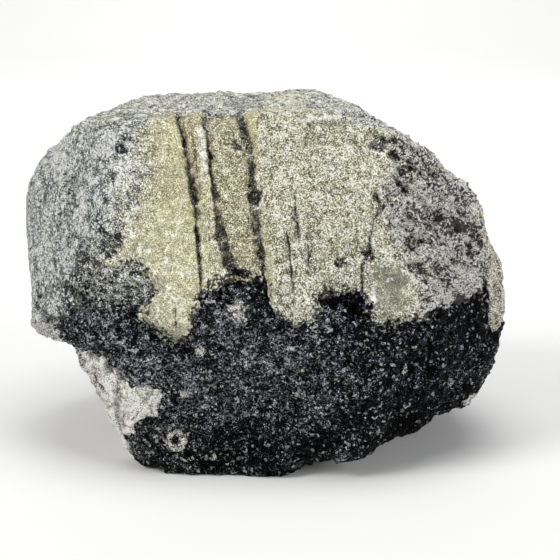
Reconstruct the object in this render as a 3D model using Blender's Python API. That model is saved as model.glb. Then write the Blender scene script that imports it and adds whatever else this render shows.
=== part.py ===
"""A phenakite crystal the size of a fist, still bedded in a rind of dark mica schist.

Two pieces that can be told apart by eye: the pale crystal, with its fluted front face and its glassy break
at the lower left, and the mica schist that wraps its lower half and carries it.

The row frame is +Z up, with the front face looking along -Y. The origin is on the surface that the stone
stands on, under the middle of its box.
"""

import math

import bmesh
import bpy
import numpy as np
from mathutils import Vector, noise
from mathutils.geometry import tessellate_polygon

MM = 0.001

# Driving dimensions, in millimetres.
STONE_WIDTH = 84.0
HEART_HEIGHT = 30.0  # the point inside the stone that every facet's distance is measured from
BASE_LEVEL = 1.2  # the underside is worn flat at this height, before the stone is stood on the origin
RIND_THICKNESS = 3.6
RIND_STEP = 0.7  # how far the schist lies below the crystal's skin
JOINT_GAP = 0.3  # between the crystal and the schist, so that the two solids never touch
SKIN_TRIANGLES = 6200
CORE_TRIANGLES = 600
CORE_SUBDIVISIONS = 5
SKIN_SUBDIVISIONS = 8
EDGE_SHARPNESS = 40  # the higher, the crisper the edges between facets
CRYSTAL_COLOUR = (0.56, 0.53, 0.42)
CRYSTAL_ROUGHNESS = 0.45
SCHIST_COLOUR = (0.07, 0.075, 0.08)
SCHIST_ROUGHNESS = 0.5

# A facet is (turn, tilt, distance). Turn 0 faces the front, 90 the right end and 180 the back; tilt is
# upwards. The distance is from the heart, in millimetres.
BODY_FACETS = {
    "front left": (-5, 19, 24.8),
    "front right": (15, 17, 26.8),
    "front below": (-4, -9, 26.0),
    "front right below": (38, -16, 34.0),
    "left flank": (-50, 13, 34.4),
    "right flank": (47, 9, 33.8),
    "top": (-87, 87, 30.4),
    "top right": (95, 71, 32.7),
    "right shoulder": (106, 51, 32.2),
    "right brow": (94, 21, 37.4),
    "right end": (93, -6, 39.4),
    "underside": (57, -64, 33.6),
    "base": (0, -90, 30.8),
    "back roof": (172, 42, 27.6),
    "back": (176, -3, 27.0),
    "back left": (-133, 6, 34.5),
    "back right": (133, 4, 34.5),
    "back under": (165, -50, 34.0),
    "left end": (-89, -6, 40.2),
    "left brow": (-98, 32, 43.4),
    "left shoulder": (-104, 56, 38.4),
}
OVERHANG_FACETS = {
    "ledge": (-30, -77, 13.9),
}
BREAK_FACETS = {
    "break": (-97, -26, 31.4),
    "left chamfer": (-46, -16, 34.0),
}
SLAB_FACETS = {
    "end": (86, 4, 40.8),
    "end below": (97, -30, 41.2),
    "slant": (98, 24, 37.6),
    "front": (42, 10, 31.5),
    "front above": (66, 40, 33.0),
    "front below": (58, -30, 38.6),
    "back": (134, -4, 34.0),
    "back above": (124, 36, 33.0),
    "sill": (84, -76, 20.2),
    "lid": (92, 76, 15.0),
    "buried": (-90, 0, 12.0),
    "buried front": (-10, 0, 16.0),
    "buried back": (190, 0, 16.0),
}
BLOCKS = (BODY_FACETS | OVERHANG_FACETS, BODY_FACETS | BREAK_FACETS, SLAB_FACETS)

# Where the schist lies, seen from the front as (x, z): first its rim on the front face, from the left end
# to the right, then the way round below the floor, then its edge along the glassy break.
RIM = (
    (-34.0, 24.0), (-33.8, 28.3), (-32.2, 31.4), (-33.2, 33.7), (-30.0, 36.2), (-26.1, 38.2),
    (-23.8, 37.4), (-20.9, 38.3), (-18.5, 35.3), (-17.5, 32.9), (-19.5, 30.9), (-19.0, 28.9),
    (-16.9, 27.1), (-15.0, 25.7), (-12.7, 25.9), (-11.1, 27.7), (-10.5, 30.7), (-10.2, 33.2),
    (-7.3, 35.5), (-1.6, 35.8), (-0.1, 33.9), (0.3, 31.4), (2.2, 29.5), (5.3, 28.4),
    (7.2, 29.2), (8.1, 32.7), (9.3, 34.2), (14.6, 33.4), (15.5, 31.5), (17.2, 29.3),
    (24.9, 28.7), (27.3, 29.9), (33.3, 31.4), (35.2, 31.8), (36.6, 29.8), (37.0, 26.8),
    (39.4, 24.4), (48.0, 23.4),
)
BELOW_FLOOR = ((48.0, -5.0), (-20.6, -5.0))
BREAK_EDGE = (
    (-21.4, 1.6), (-23.4, 4.3), (-24.5, 6.5), (-23.7, 9.4), (-21.6, 10.9), (-19.8, 12.8),
    (-17.7, 14.6), (-16.5, 16.1), (-16.8, 17.8), (-18.8, 18.7), (-22.0, 18.1), (-23.0, 19.7),
    (-24.9, 21.4), (-28.1, 22.8), (-31.3, 23.6),
)
SCHIST_OUTLINE = RIM + BELOW_FLOOR + BREAK_EDGE
OUTLINE_FRONT = -26.0  # the depth at which the outline is drawn
OUTLINE_SHEAR = (0.10, -0.13)  # how far the outline moves in x and z for each millimetre further back
# Behind the front face the rim gives way to an easier wave: (mean height, height of the wave, its length).
BACK_RIM = (26.5, 2.2, 37.0)
RIM_CHANGE = (-9.0, 6.0)  # the depths between which it does
BEYOND_STONE = 45.0  # a depth that clears the stone before and behind
LEAST_CORNER = 0.35  # keeps a sharp corner of the outline from being moved too far when it is widened

# Flutes run down the front face: (width, depth, points as (x, z)).
FLUTES = (
    (1.00, 1.35, (
        (-14.0, 60.5), (-13.0, 56.3), (-12.0, 51.5), (-11.2, 47.3), (-10.7, 41.3), (-10.0, 33.9),
    )),
    (0.85, 1.20, ((-9.8, 61.5), (-9.2, 56.3), (-8.5, 50.3), (-7.9, 45.8), (-7.1, 40.6), (-5.6, 36.6))),
    (1.05, 1.40, ((-4.1, 61.5), (-3.0, 56.4), (-2.2, 52.7), (-1.9, 47.4), (-0.6, 38.2), (0.0, 32.6))),
    (0.60, 0.70, ((3.3, 41.6), (3.9, 36.4), (4.4, 31.3))),
    (0.65, 0.60, ((4.5, 45.7), (5.3, 41.3))),
    (0.60, 0.60, ((6.4, 42.0), (6.7, 36.4))),
    (0.80, 0.95, ((17.7, 47.9), (17.2, 44.8), (16.1, 40.5), (15.7, 37.3), (15.2, 33.5))),
    (0.70, 0.40, ((-20.4, 48.6), (-20.2, 43.4))),
)
SUNK_STRIP = 0.6  # depth of the strip between the second flute and the third
SUNK_STRIP_ENDS = (35.5, 60.0)  # the heights between which it is sunk

FLUTED_FROM = (0.25, 0.5)  # how squarely the skin faces the front where flutes begin and are whole

# Hollows and swellings in the skin: (x, y, z, radius, depth), a negative depth being a swelling.
HOLLOWS = (
    (17.9, -16.0, 55.9, 2.6, 1.5),
    (21.5, -16.0, 52.0, 2.6, 1.5),
    (21.6, -17.4, 48.0, 2.2, 1.0),
    (27.8, -16.4, 44.2, 3.2, 1.3),
    (31.5, -14.7, 37.1, 3.0, 1.3),
    (23.2, -19.4, 40.8, 2.8, 1.0),
    (30.5, -10.0, 50.5, 4.0, 0.9),
    (8.6, -20.0, 1.5, 4.6, 1.9),
    (-4.2, -24.3, 34.2, 3.2, 1.2),
    (12.4, -25.0, 31.5, 2.8, 1.1),
    (35.0, -4.0, 47.0, 7.0, -0.7),
    (5.0, 3.0, 60.5, 5.5, -0.7),
    (-14.5, -24.8, 28.5, 4.5, -0.7),
    (36.0, -12.0, 15.0, 5.0, -0.8),
    (-27.0, -8.0, 17.0, 3.6, -0.9),
)

# Noise in the skin: the size of its lumps in millimetres, and its octaves.
LUMPS = (9.0, 4)
GRAINS = (3.2, 3)
WAVES = (9.0, 3)
WAVE_HEIGHT = 1.1
RIND_LUMPS, RIND_GRAINS = 0.75, 0.45
ROUGH_RIGHT = (20, 27)  # the x between which the bare skin turns rough at the right
ROUGH_LEFT = (21, 26)  # the same to the left, measured leftwards
ROUGH_BACK = (0, 12)  # the y between which it turns rough at the back

# Broken steps, as (the face they cross, spacing, height): the glassy break and the layered right end.
BREAK_STEPS = ((-97, -26), 3.1, 0.9)
LAYER_STEPS = ((70, 10), 2.2, 0.6)
BREAK_SINK = -0.4  # lifts the broken steps, so that they stand about the skin and not only under it


def facing(turn, tilt):
    """The unit vector at that turn from the front and that tilt upwards, in degrees."""
    turn, tilt = math.radians(turn), math.radians(tilt)
    return np.array((math.sin(turn) * math.cos(tilt), -math.cos(turn) * math.cos(tilt), math.sin(tilt)))


def reach(directions):
    """How far the stone reaches from its heart in each direction: the furthest of its blocks."""
    found = []
    for block in BLOCKS:
        crowding = np.zeros(len(directions))
        for turn, tilt, distance in block.values():
            crowding += (np.maximum(directions @ facing(turn, tilt), 0) / distance) ** EDGE_SHARPNESS
        found.append(crowding ** (-1 / EDGE_SHARPNESS))
    return np.max(found, axis=0)


def bump(distance, radius):
    """1 at distance 0, falling smoothly to nothing past the radius."""
    return np.exp(-((distance / radius) ** 2))


def ramp(value, low, high):
    """0 below low, 1 above high, smooth between."""
    share = np.clip((value - low) / (high - low), 0, 1)
    return share * share * (3 - 2 * share)


def fractal(points, scale, octaves, seed):
    """Fractal noise, about -1 to 1, with lumps of that scale in millimetres."""
    shift = Vector((seed * 7.3, seed * 3.1, seed * 5.7))
    return np.array([noise.fractal(Vector(p) / scale + shift, 0.8, 2.1, octaves) for p in points])


def distance_to_line(points, line):
    """The least distance from each 2-D point to a run of straight segments."""
    least = np.full(len(points), np.inf)
    for start, end in zip(line, line[1:]):
        start, along = np.array(start), np.subtract(end, start)
        share = np.clip((points - start) @ along / (along @ along), 0, 1)
        least = np.minimum(least, np.linalg.norm(points - start - share[:, None] * along, axis=1))
    return least


def inside(points, outline):
    """True for each 2-D point inside the closed outline."""
    found = np.zeros(len(points), bool)
    x, z = points.T
    for (x1, z1), (x2, z2) in zip(outline, outline[1:] + outline[:1]):
        if z1 == z2:
            continue
        crosses = (z1 > z) != (z2 > z)
        found ^= crosses & (x < x1 + (z - z1) * (x2 - x1) / (z2 - z1))
    return found


def in_outline_plane(points):
    """Where each point lies in the plane in which the schist's outline is drawn, as (x, z)."""
    behind = points[:, 1] - OUTLINE_FRONT
    return points[:, [0, 2]] - behind[:, None] * np.array(OUTLINE_SHEAR)


def back_outline():
    """The schist's outline as it runs round the back, with a corner for each corner of the front one."""
    mean, wave, length = BACK_RIM
    even = np.linspace(RIM[0][0], RIM[-1][0], len(RIM))
    across = (0.7 * np.sort([x for x, z in RIM]) + 0.3 * even)[1:-1]
    turns = across / length * 2 * math.pi
    heights = mean + wave * (np.sin(turns) + 0.5 * np.sin(2.3 * turns + 1) + 0.3 * np.sin(5.1 * turns))
    rim = tuple(zip(across, heights))
    return RIM[:1] + rim + RIM[-1:] + BELOW_FLOOR + BREAK_EDGE


def schist_cover(points):
    """1 where the schist covers the stone, 0 on bare crystal, changing over half a millimetre."""
    flat = in_outline_plane(points)
    covers = []
    for outline in (SCHIST_OUTLINE, back_outline()):
        edge = distance_to_line(flat, outline + outline[:1])
        covers.append(ramp(np.where(inside(flat, outline), edge, -edge), -0.2, 0.3))
    behind = np.clip((points[:, 1] - RIM_CHANGE[0]) / (RIM_CHANGE[1] - RIM_CHANGE[0]), 0, 1)
    return covers[0] * (1 - behind) + covers[1] * behind


def flute_depth(points, on_front):
    """How far the flutes and the sunk strip lie below the front face."""
    flat = points[:, [0, 2]]
    depth = np.zeros(len(points))
    for width, deep, line in FLUTES:
        depth = np.maximum(depth, deep * bump(distance_to_line(flat, line), width))
    strip_lines = [np.array(line[::-1]).T[::-1] for width, deep, line in FLUTES[1:3]]
    left, right = (np.interp(flat[:, 1], *line) for line in strip_lines)
    strip = ramp(flat[:, 0] - left, -0.4, 0.4) * ramp(right - flat[:, 0], -0.4, 0.4)
    low, high = SUNK_STRIP_ENDS
    strip *= ramp(flat[:, 1], low - 1, low) * ramp(-flat[:, 1], -high - 0.8, -high)
    return np.maximum(depth, SUNK_STRIP * strip) * on_front


def stepped(points, steps, waviness):
    """A sawtooth of ledges that run across a face."""
    (turn, tilt), spacing, height = steps
    along = points @ np.cross(facing(turn, tilt), (0, 1, 0)) / spacing + waviness
    tooth = along - np.floor(along)
    return height * (1 - tooth) * ramp(tooth, 0, 0.15)


def weather(points, directions):
    """How far each point of the skin moves towards the heart, in millimetres."""
    cover = schist_cover(points)
    bare = 1 - cover
    on_front = ramp(-directions[:, 1], *FLUTED_FROM)
    to_right = ramp(points[:, 0], *ROUGH_RIGHT)
    to_left = ramp(-points[:, 0], *ROUGH_LEFT)
    behind = ramp(points[:, 1], *ROUGH_BACK)

    lumps = fractal(points, *LUMPS, seed=1)
    grains = fractal(points, *GRAINS, seed=2)
    depth = cover * (RIND_STEP + RIND_LUMPS * lumps + RIND_GRAINS * grains)
    depth += bare * ((0.22 + 0.30 * behind) * lumps)
    depth += bare * (0.05 + 0.45 * to_right + 0.12 * to_left + 0.10 * behind) * grains
    depth += bare * flute_depth(points, on_front)

    for x, y, z, radius, deep in HOLLOWS:
        depth += deep * bump(np.linalg.norm(points - (x, y, z), axis=1), radius)

    waviness = WAVE_HEIGHT * fractal(points, *WAVES, seed=3)
    on_break = ramp(directions @ facing(-97, -27), 0.80, 0.90) * bare * ramp(-points[:, 2], -20.5, -18.5)
    on_layers = ramp(directions @ facing(84, -6), 0.86, 0.93) * ramp(points[:, 1], -9, -5)
    depth += on_break * (stepped(points, BREAK_STEPS, waviness) + BREAK_SINK)
    depth += on_layers * stepped(points, LAYER_STEPS, waviness)
    return depth


def ball_mesh(subdivisions):
    """Directions all round, and the triangles between them."""
    ball = bmesh.new()
    bmesh.ops.create_icosphere(ball, subdivisions=subdivisions, radius=1)
    directions = np.array([vertex.co for vertex in ball.verts])
    faces = [[vertex.index for vertex in face.verts] for face in ball.faces]
    ball.free()
    return directions / np.linalg.norm(directions, axis=1)[:, None], faces


def add_object(name, points, faces):
    """A mesh object from points in millimetres."""
    mesh = bpy.data.meshes.new(name)
    mesh.from_pydata([Vector(p) * MM for p in points], [], faces)
    mesh.validate()
    made = bpy.data.objects.new(name, mesh)
    bpy.context.scene.collection.objects.link(made)
    return made


def applied(made):
    """The object with its modifiers turned into mesh."""
    graph = bpy.context.evaluated_depsgraph_get()
    mesh = bpy.data.meshes.new_from_object(made.evaluated_get(graph))
    made.modifiers.clear()
    made.data = mesh
    return made


def as_helper(made):
    made.hide_render = True
    made.display_type = "WIRE"
    return made


def thinned(made, triangles):
    """The object with no more triangles than its shape needs."""
    thin = made.modifiers.new("thin", "DECIMATE")
    thin.ratio = triangles / len(made.data.polygons)
    return applied(made)


def whole_stone():
    """The stone's outer skin in one piece."""
    directions, faces = ball_mesh(SKIN_SUBDIVISIONS)
    heart = np.array((0, 0, HEART_HEIGHT))
    distance = reach(directions)
    smooth = heart + directions * distance[:, None]
    points = heart + directions * (distance - weather(smooth, directions))[:, None]
    points[:, 2] = np.maximum(points[:, 2], BASE_LEVEL)
    return thinned(as_helper(add_object("stone", points, faces)), SKIN_TRIANGLES)


def core(gap):
    """The crystal's buried part: the stone's own form, smaller by the rind's thickness and the gap."""
    directions, faces = ball_mesh(CORE_SUBDIVISIONS)
    heart = np.array((0, 0, HEART_HEIGHT))
    points = heart + directions * (reach(directions) - RIND_THICKNESS)[:, None]
    buried = thinned(as_helper(add_object("core", points, faces)), CORE_TRIANGLES)
    for vertex in buried.data.vertices:
        vertex.co -= (vertex.co - Vector(heart) * MM).normalized() * gap * MM
    return buried


def grown(outline, margin):
    """The closed outline with each corner moved outwards along its bisector."""
    grown_outline = []
    area = sum(x1 * z2 - x2 * z1 for (x1, z1), (x2, z2) in zip(outline, outline[1:] + outline[:1]))
    side = math.copysign(1, area)
    for before, here, after in zip(outline[-1:] + outline[:-1], outline, outline[1:] + outline[:1]):
        first = np.subtract(here, before) / math.dist(here, before)
        second = np.subtract(after, here) / math.dist(after, here)
        normals = np.array(((first[1], -first[0]), (second[1], -second[0]))) * side
        bisector = normals.sum(axis=0)
        reach_out = margin / max(LEAST_CORNER, bisector @ normals[0] / np.linalg.norm(bisector))
        grown_outline.append(tuple(np.array(here) + bisector / np.linalg.norm(bisector) * reach_out))
    return tuple(grown_outline)


def rind_space(name, gap):
    """The space that the schist fills: the outline run from front to back, less the crystal's core."""
    front, back = grown(SCHIST_OUTLINE, gap), grown(back_outline(), gap)
    rings = []
    for depth, outline in (
        (-BEYOND_STONE, front), (RIM_CHANGE[0], front), (RIM_CHANGE[1], back), (BEYOND_STONE, back),
    ):
        shift = np.array(OUTLINE_SHEAR) * (depth - OUTLINE_FRONT)
        rings.append([(x + shift[0], depth, z + shift[1]) for x, z in outline])
    count = len(front)
    last = count * (len(rings) - 1)
    near_end = tessellate_polygon([[Vector(p) for p in rings[0]]])
    far_end = tessellate_polygon([[Vector(p) for p in rings[-1]]])
    faces = [list(triangle) for triangle in near_end]
    faces += [[i + last for i in triangle[::-1]] for triangle in far_end]
    for ring in range(len(rings) - 1):
        for i in range(count):
            here, there = ring * count + i, ring * count + (i + 1) % count
            faces += [[here, there, there + count], [here, there + count, here + count]]
    space = as_helper(add_object(name, sum(rings, []), faces))
    tidy = bmesh.new()
    tidy.from_mesh(space.data)
    bmesh.ops.recalc_face_normals(tidy, faces=tidy.faces)
    tidy.to_mesh(space.data)
    tidy.free()
    return cut(space, core(gap), "DIFFERENCE")


def cut(made, other, operation):
    """The object after an exact Boolean with the other one, which is then gone."""
    boolean = made.modifiers.new(operation.lower(), "BOOLEAN")
    boolean.operation = operation
    boolean.solver = "EXACT"
    boolean.object = other
    applied(made)
    bpy.data.objects.remove(other)
    return made


def without_crumbs(made):
    """The object's largest body alone: a cut along a thin edge can leave a crumb beside it."""
    whole = bmesh.new()
    whole.from_mesh(made.data)
    bodies = []
    unseen = set(whole.verts)
    while unseen:
        body = set()
        waiting = [next(iter(unseen))]
        while waiting:
            vertex = waiting.pop()
            if vertex not in body:
                body.add(vertex)
                waiting += [edge.other_vert(vertex) for edge in vertex.link_edges]
        bodies.append(body)
        unseen -= body
    largest = max(bodies, key=len)
    bmesh.ops.delete(whole, geom=[v for v in whole.verts if v not in largest], context="VERTS")
    whole.to_mesh(made.data)
    whole.free()
    return made


def stone_material(name, colour, roughness):
    material = bpy.data.materials.new(name)
    material.use_nodes = True
    material.diffuse_color = (*colour, 1)
    shader = material.node_tree.nodes["Principled BSDF"]
    shader.inputs["Base Color"].default_value = (*colour, 1)
    shader.inputs["Roughness"].default_value = roughness
    shader.inputs["Metallic"].default_value = 0
    return material


def shown(made, name, material):
    """The finished piece under its own name, with its material on every face."""
    made.name = made.data.name = name
    made.hide_render = False
    made.display_type = "TEXTURED"
    made.data.materials.clear()
    made.data.materials.append(material)
    return made


def stand(pieces):
    """Brings the pieces to the stone's width, with the middle of its base at the origin."""
    points = np.array([vertex.co for piece in pieces for vertex in piece.data.vertices])
    low, high = points.min(axis=0), points.max(axis=0)
    origin = Vector(((low[0] + high[0]) / 2, (low[1] + high[1]) / 2, low[2]))
    scale = STONE_WIDTH * MM / (high[0] - low[0])
    for piece in pieces:
        for vertex in piece.data.vertices:
            vertex.co = (vertex.co - origin) * scale


def build():
    for old in list(bpy.data.objects):
        bpy.data.objects.remove(old)
    stone = whole_stone()
    schist = as_helper(stone.copy())
    schist.data = stone.data.copy()
    bpy.context.scene.collection.objects.link(schist)

    crystal = without_crumbs(cut(stone, rind_space("crystal_cutter", JOINT_GAP), "DIFFERENCE"))
    schist = without_crumbs(cut(schist, rind_space("rind", 0.0), "INTERSECT"))
    stand((crystal, schist))
    shown(crystal, "phenakite_crystal", stone_material("phenakite", CRYSTAL_COLOUR, CRYSTAL_ROUGHNESS))
    shown(schist, "mica_schist", stone_material("mica_schist", SCHIST_COLOUR, SCHIST_ROUGHNESS))


build()
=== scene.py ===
"""A phenakite crystal in its rind of mica schist: the fine surface and the materials.

Lengths are in millimetres on the stone's own scale, where the stone is STONE_WIDTH wide. X is to the
right, Y away from the camera, Z up, and the floor is at Z = 0, as in the frame.
"""

import math

import bpy
import numpy as np
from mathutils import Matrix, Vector
from mathutils.bvhtree import BVHTree
from mathutils.kdtree import KDTree


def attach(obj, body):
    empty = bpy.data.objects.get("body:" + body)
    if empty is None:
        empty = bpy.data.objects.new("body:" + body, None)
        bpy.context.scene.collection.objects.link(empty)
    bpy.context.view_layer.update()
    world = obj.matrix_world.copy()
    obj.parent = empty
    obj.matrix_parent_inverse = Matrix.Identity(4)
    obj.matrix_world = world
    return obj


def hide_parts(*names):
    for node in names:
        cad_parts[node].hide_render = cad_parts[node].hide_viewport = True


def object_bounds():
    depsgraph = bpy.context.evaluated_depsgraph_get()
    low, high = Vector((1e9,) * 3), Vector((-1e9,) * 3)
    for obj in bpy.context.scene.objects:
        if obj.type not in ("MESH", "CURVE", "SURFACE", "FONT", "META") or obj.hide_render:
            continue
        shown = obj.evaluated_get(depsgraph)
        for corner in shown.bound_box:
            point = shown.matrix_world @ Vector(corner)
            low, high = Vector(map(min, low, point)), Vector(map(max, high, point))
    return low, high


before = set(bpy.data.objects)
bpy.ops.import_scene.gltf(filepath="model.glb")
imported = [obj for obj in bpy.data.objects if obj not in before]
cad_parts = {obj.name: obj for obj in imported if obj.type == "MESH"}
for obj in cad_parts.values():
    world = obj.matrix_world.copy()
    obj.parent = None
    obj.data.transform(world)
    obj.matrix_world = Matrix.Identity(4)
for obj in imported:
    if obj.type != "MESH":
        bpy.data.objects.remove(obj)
CAD_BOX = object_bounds()

# ---- sizes, in millimetres
STONE_WIDTH = 84.0
METRES = (CAD_BOX[1].x - CAD_BOX[0].x) / STONE_WIDTH
LOWEST = np.array(CAD_BOX[0]) / METRES
HIGHEST = np.array(CAD_BOX[1]) / METRES
HEART = np.array([0.0, -1.2, 29.2])
BOX_MARGIN = 0.02

# The ball of rays from the heart that the fine surface is made of, and how often it is smoothed.
BALL_LEVEL = 8
FRONT_CROWDING = np.array([0.0, -0.36, 0.03])
CAST_FROM = 80.0
FORM_SMOOTHING = 14
RIM_SMOOTHING = 6
CRYSTAL_TRIANGLES = 192000
SCHIST_TRIANGLES = 180000

# The schist's rind: its thickness, how far the crystal sinks under it, how far its edge stands out and
# reaches over the bare crystal, and how much further down it leaves the slab bare.
RIND_DEPTH = 2.4
SUNK_DEPTH = 2.7
RIND_LIP = 0.35
RIND_OVERLAP = -1.1
LOBE_BARED = 6.0
# Where the schist's edge is drawn back, or on where under 0: (x, y, z), how wide and how far.
REDRAWN = [(-25.0, -19.0, 18.0, 4.5, 1.8), (-17.6, -24.0, 17.8, 2.2, -2.0), (19.5, -25.0, 28.6, 4.0, 1.0)]

# Grooves of the front face: depth, then (x, z, half width) from the top down.
GROOVES = {
    "first": (0.80, [
        (-14.6, 60.6, 0.22), (-14.4, 59.2, 0.40), (-13.2, 55.7, 0.24), (-12.4, 51.6, 0.50),
        (-11.5, 47.0, 0.58), (-11.2, 44.0, 0.42), (-10.9, 40.4, 0.28), (-10.2, 32.9, 0.17),
        (-9.9, 30.0, 0.12),
    ]),
    "second": (1.0, [
        (-10.2, 60.6, 0.40), (-10.0, 58.8, 0.55), (-9.5, 56.6, 0.22), (-8.6, 49.7, 0.26), (-8.0, 45.1, 0.34),
        (-7.4, 41.3, 0.62), (-6.8, 39.0, 0.78), (-5.2, 34.8, 0.80),
    ]),
    "third": (0.90, [
        (-4.5, 60.6, 0.40), (-4.0, 58.8, 0.50), (-3.0, 55.8, 0.48), (-2.2, 52.0, 0.42), (-2.0, 48.2, 0.48),
        (-1.9, 45.8, 0.66), (-1.4, 42.0, 0.50), (-0.8, 39.0, 0.36), (-0.4, 35.2, 0.26), (0.2, 30.5, 0.18),
    ]),
    "comb left": (0.30, [(-13.6, 59.4, 0.16), (-12.6, 55.0, 0.14), (-11.9, 50.5, 0.10)]),
    "comb right": (0.30, [(-12.3, 59.2, 0.14), (-11.5, 55.0, 0.12), (-10.8, 49.0, 0.08)]),
    "fourth": (0.45, [(3.3, 42.3, 0.18), (4.0, 35.5, 0.20), (4.6, 29.8, 0.14)]),
    "fifth": (0.45, [(4.5, 46.2, 0.22), (5.5, 39.8, 0.30)]),
    "sixth": (0.40, [(6.5, 42.0, 0.16), (7.0, 34.5, 0.24)]),
    "seventh": (0.25, [(11.1, 43.0, 0.20), (11.6, 36.8, 0.20)]),
    "eighth": (0.25, [(14.3, 44.0, 0.20), (14.6, 37.6, 0.20)]),
    "ninth": (0.65, [
        (17.2, 48.6, 0.20), (17.6, 47.2, 0.45), (18.5, 45.4, 0.52), (17.4, 43.4, 0.30), (16.8, 41.8, 0.14),
        (16.6, 40.0, 0.26), (16.5, 38.6, 0.55), (15.5, 37.0, 0.36), (15.4, 34.3, 0.22), (15.2, 31.0, 0.34),
    ]),
    "left hairline": (0.22, [(-20.7, 50.0, 0.12), (-20.4, 41.5, 0.12)]),
    "low slot": (0.40, [(-14.6, 31.2, 0.18), (-14.2, 26.2, 0.22)]),
}
# Where the grooves fade out over the top's front edge, as two values of y.
GROOVED_FROM_Y = (-11.4, -12.8)
# The front edge of the top, as (x, y): before it the surface still belongs to the front face.
TOP_EDGE = [
    (-22.0, -40.0), (-19.0, -12.6), (-8.0, -12.2), (2.0, -12.0), (7.0, -13.2), (12.5, -16.4), (17.0, -40.0),
]
# The sunk strip between two grooves: its depth and its ends in z.
STRIP_DEPTH = 0.55
STRIP_ENDS = (34.0, 60.2)
# The sunk square at the top right: left, right, bottom and top.
SQUARE = (6.0, 15.0, 54.6, 59.0)
SQUARE_DEPTH = 0.60
# Rounded patches: the middle and the half widths.
PEARL = (np.array([19.6, -24.0, 32.2]), np.array([3.0, 6.0, 5.0]))
YELLOW_LUMP = (np.array([3.8, -4.0, 60.6]), np.array([3.4, 5.0, 3.0]))
BREAK_BLOCK = (np.array([-20.8, -22.0, 13.2]), np.array([4.6, 8.0, 4.4]))
# Lines between the kinds of surface, as (x, z).
FLANK_EDGE = [
    (-19.5, 62.0), (-21.4, 57.5), (-21.7, 54.2), (-21.8, 49.6), (-23.4, 45.0), (-25.8, 41.0), (-27.8, 38.0),
    (-30.0, 30.0),
]
GRAINY_EDGE = [(-2.0, 62.0), (-2.2, 46.0), (0.5, 38.0), (1.0, 28.0)]
RUGGED_EDGE = [(17.0, 62.0), (19.5, 53.0), (17.8, 44.0), (22.5, 35.0), (24.5, 28.0)]
SLAB_EDGE = [(34.0, 42.0), (35.4, 38.7), (36.6, 36.0), (37.2, 33.0), (37.1, 27.4), (36.0, 25.0), (34.8, 21.0)]
BREAK_TOP = [(-36.0, 22.6), (-33.0, 22.9), (-31.0, 24.3), (-20.0, 21.7)]
# The slab's layers: their direction across and how far they are apart.
LAYERED_ALONG = np.array([0.86, 0.40, 0.18])
LAYER = 1.1
# Creases and cracks: half width, depth, then (x, y, z) along them. Their depth also sets the painted shade
# along them.
CREASES = [
    (0.5, 1.1, [(34.6, -11.5, 40.5), (36.6, -11.0, 36.0), (37.3, -10.9, 33.0), (37.1, -11.4, 27.4),
                (35.6, -14.2, 23.8)]),
    (0.7, 1.2, [(-39.8, -9.0, 26.6), (-38.6, -12.8, 25.9), (-36.4, -15.1, 25.0), (-34.1, -17.8, 24.7),
                (-31.4, -19.9, 23.8)]),
    (0.5, 0.9, [(-30.2, -15.8, 17.4), (-28.6, -17.0, 14.6), (-26.4, -19.6, 13.4)]),
    (0.4, 0.7, [(-25.2, -22.6, 18.2), (-23.2, -23.0, 16.6), (-20.6, -24.0, 16.8)]),
    (0.30, 0.7, [(-9.4, -12.5, 59.4), (-6.5, -12.2, 59.5), (-4.5, -12.0, 59.5)]),
]
# Pale grains set in the schist: (x, y, z) and how wide.
RING_GRAIN = (np.array([-14.9, -22.4, 6.4]), 1.7)
PALE_GRAINS = [
    (-13.3, -24.3, 15.0, 0.6), (-8.6, -22.6, 3.5, 0.5), (-4.6, -26.2, 30.0, 1.5),
    (-10.6, -25.5, 23.1, 0.7), (6.0, -26.8, 20.0, 0.5), (22.5, -24.0, 19.0, 0.6), (34.9, -12.0, 9.8, 1.3),
]
# Hollows in the schist with painted shade, patches of painted sheen and dark patches on the crystal: (x, y,
# z) and how wide.
SHADED_HOLLOWS = [
    (-8.0, -21.8, 33.2, 1.9), (-4.4, -24.2, 34.4, 1.9), (-0.6, -25.8, 32.8, 1.5), (-6.5, -24.5, 31.5, 1.8),
    (10.2, -25.7, 31.8, 1.7), (12.6, -24.9, 32.3, 1.9), (15.0, -25.2, 29.8, 1.6),
]
PAINTED_SHEEN_PATCHES = [
    (-26.0, -16.0, 54.9, 2.3), (-28.6, -16.2, 47.7, 2.2), (-30.0, -16.0, 43.3, 2.0), (-34.7, -7.7, 50.7, 2.4),
    (-23.3, -18.1, 51.1, 1.6), (-33.2, -11.2, 46.3, 2.2), (33.0, -14.0, 31.5, 1.6), (30.0, -17.0, 31.5, 1.5),
    (-5.2, -11.2, 59.6, 0.6), (-3.9, -11.9, 59.5, 0.6), (-1.2, -21.0, 45.9, 0.6), (17.1, -25.2, 31.6, 0.6),
    (17.2, -24.8, 32.9, 0.5), (30.6, -15.6, 38.6, 0.9), (33.0, -14.0, 34.6, 0.8), (24.6, -19.4, 41.5, 0.9),
]
DARK_PATCHES = [
    (18.6, -16.4, 55.0, 1.5), (20.6, -16.7, 53.2, 1.2), (22.0, -17.0, 50.6, 1.3), (22.2, -17.8, 48.0, 1.0),
    (21.8, -19.3, 43.5, 1.0), (24.2, -20.0, 39.2, 1.3), (31.6, -14.2, 41.5, 2.2), (33.0, -12.0, 37.5, 1.9),
    (31.5, -15.0, 35.0, 1.6), (-1.8, -20.3, 47.3, 1.1), (-4.8, -18.1, 55.0, 0.9), (28.4, -16.5, 43.3, 1.2),
    (24.0, -21.9, 35.8, 1.3), (34.2, -13.2, 36.4, 1.2), (29.5, -16.8, 38.0, 1.1), (11.8, -24.5, 37.6, 0.9),
    (16.4, -23.2, 38.2, 0.9), (-25.0, -20.5, 39.5, 2.2), (-30.0, -18.3, 37.0, 2.0),
    (-23.4, -16.5, 54.5, 1.3), (-31.5, -11.0, 47.0, 2.2), (-34.0, -9.0, 41.0, 2.0),
]

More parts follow.
